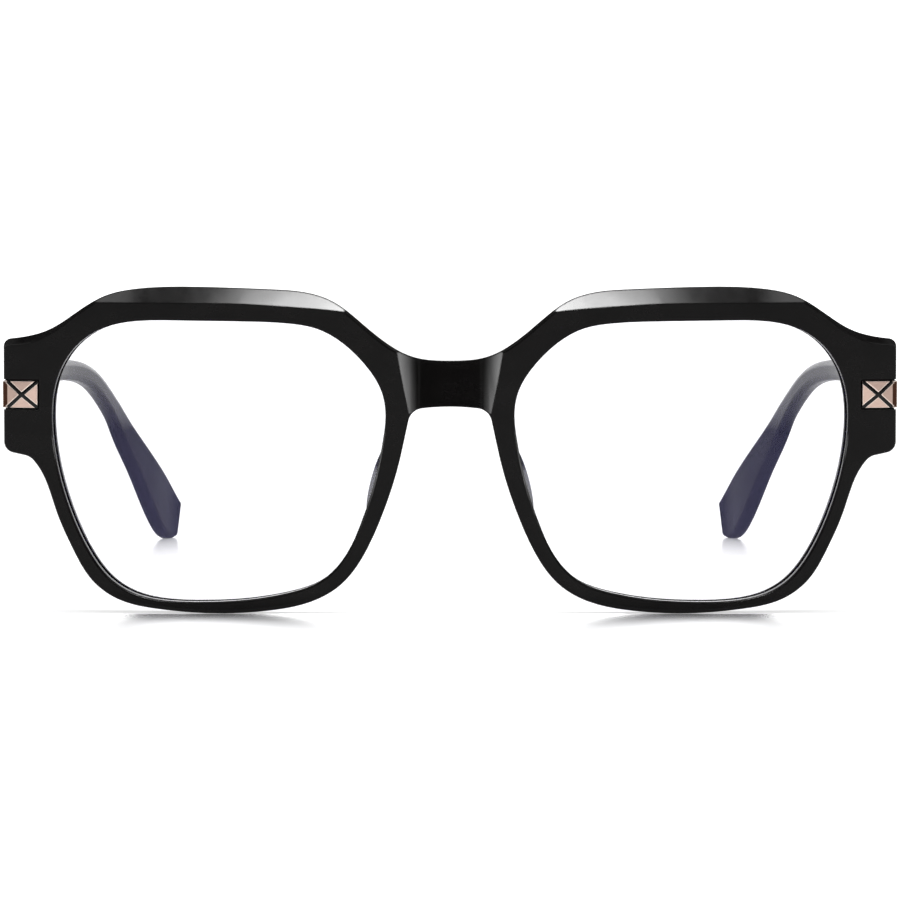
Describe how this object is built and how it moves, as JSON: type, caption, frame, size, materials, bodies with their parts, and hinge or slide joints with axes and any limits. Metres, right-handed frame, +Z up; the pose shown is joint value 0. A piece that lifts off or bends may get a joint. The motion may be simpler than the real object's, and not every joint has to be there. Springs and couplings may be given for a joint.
{
  "type": "blue light glasses",
  "caption": "Full-rim square acetate eyeglasses with clear coated lenses, rivet-style corner shields and folding temples on barrel hinges.",
  "frame": {"origin": "centre of the bounding box in plan, on the table the glasses stand on", "axes": "+Z up, +Y from the front towards the temple tips, +X towards the wearer's left"},
  "size_m": [0.1422, 0.1457, 0.052],
  "materials": {
    "gloss_black": "polished black acetate",
    "temple_black": "polished black acetate",
    "lens": "clear lens with a faint blue-violet reflective coating",
    "nose_pad": "polished black acetate, bonded to the rim",
    "rose_gold": "brushed rose-gold plating with bright bevels",
    "black_enamel": "black enamel fill",
    "hinge_steel": "satin nickel-silver",
    "core_wire": "drawn nickel-silver wire"
  },
  "bodies": {
    "front": {"front_frame": "gloss_black", "lens_left": "lens", "lens_right": "lens", "nose_pad_left": "nose_pad", "nose_pad_right": "nose_pad", "corner_plate_left": "rose_gold", "corner_plate_right": "rose_gold", "corner_enamel_left": "black_enamel", "corner_enamel_right": "black_enamel", "front_hinge_left": "hinge_steel", "front_hinge_right": "hinge_steel", "hinge_screw_left": "hinge_steel", "hinge_screw_right": "hinge_steel"},
    "left_temple": {"temple_left": "temple_black", "temple_hinge_left": "hinge_steel", "temple_rivets_left": "hinge_steel", "core_wire_left": "core_wire"},
    "right_temple": {"temple_right": "temple_black", "temple_hinge_right": "hinge_steel", "temple_rivets_right": "hinge_steel", "core_wire_right": "core_wire"}
  },
  "joints": [
    {"name": "left_temple_fold", "type": "hinge", "parent": "front", "child": "left_temple", "pos_m": [0.06575, -0.05925, 0.0346], "axis": [0, 0, 1], "range_deg": [0, 84]},
    {"name": "right_temple_fold", "type": "hinge", "parent": "front", "child": "right_temple", "pos_m": [-0.06575, -0.05925, 0.0346], "axis": [0, 0, -1], "range_deg": [0, 78]}
  ]
}
